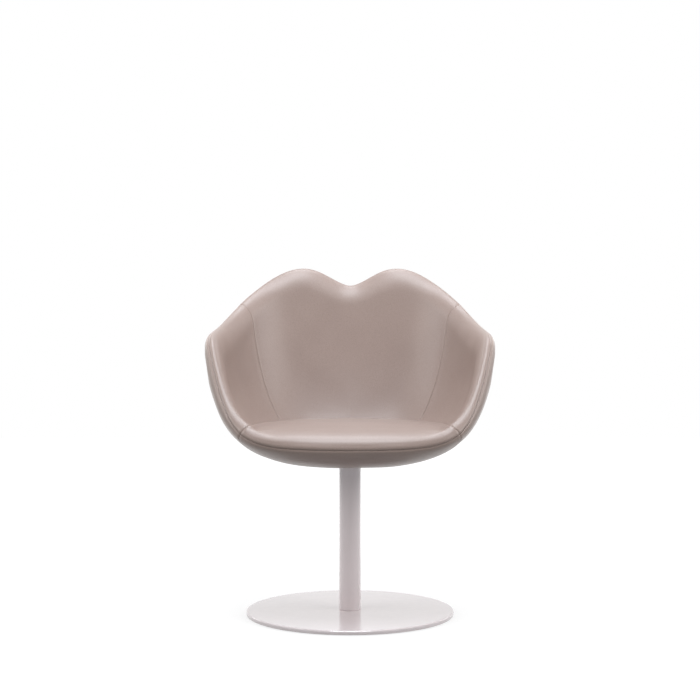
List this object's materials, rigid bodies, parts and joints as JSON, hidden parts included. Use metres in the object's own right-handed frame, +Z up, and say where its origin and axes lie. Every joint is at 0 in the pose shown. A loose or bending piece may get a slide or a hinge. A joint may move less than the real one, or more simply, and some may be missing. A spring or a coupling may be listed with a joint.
{
  "type": "pedestal armchair",
  "caption": "Leather upholstered tub armchair with a two-lobed back on a round steel column and round floor plate; the seat swivels.",
  "frame": {"origin": "on the floor, in the middle of the column", "axes": "+Z up, -Y the way the seat faces, +X the right arm as seen from in front"},
  "size_m": [0.6568, 0.5825, 0.817],
  "materials": {
    "leather": "satin",
    "foam": "matte",
    "wadding": "matte",
    "shell": "matte",
    "dust_cover": "matte",
    "painted_steel": "satin",
    "bare_steel": "satin",
    "nylon": "matte",
    "acetal": "satin"
  },
  "bodies": {
    "base": {"base_disc": "painted_steel", "floor_glide_1": "nylon", "floor_glide_2": "nylon", "floor_glide_3": "nylon", "floor_glide_4": "nylon", "floor_glide_5": "nylon", "floor_glide_6": "nylon", "column_tube": "painted_steel", "foot_plug": "bare_steel", "base_screw": "bare_steel", "locating_pin": "bare_steel", "lower_bush": "nylon", "upper_bush": "nylon", "lower_thrust_washer": "bare_steel"},
    "seat": {"slip_washer": "acetal", "upper_thrust_washer": "bare_steel", "spindle": "bare_steel", "spindle_washer": "bare_steel", "retaining_ring": "bare_steel", "mounting_plate": "bare_steel", "plate_screw_1": "bare_steel", "plate_screw_2": "bare_steel", "plate_screw_3": "bare_steel", "plate_screw_4": "bare_steel", "t_nut_1": "bare_steel", "t_nut_2": "bare_steel", "t_nut_3": "bare_steel", "t_nut_4": "bare_steel", "tub_shell": "shell", "outer_wadding": "wadding", "underside_cover": "dust_cover", "outer_cover": "leather", "front_under_cover": "leather", "front_foam": "foam", "right_arm_foam": "foam", "back_foam": "foam", "left_arm_foam": "foam", "right_arm_cover": "leather", "back_cover": "leather", "left_arm_cover": "leather", "seat_cover": "leather", "seat_foam": "foam"}
  },
  "joints": [
    {"name": "seat_swivel", "type": "hinge", "parent": "base", "child": "seat", "pos_m": [0, 0, 0.345], "axis": [0, 0, 1], "continuous": true}
  ]
}
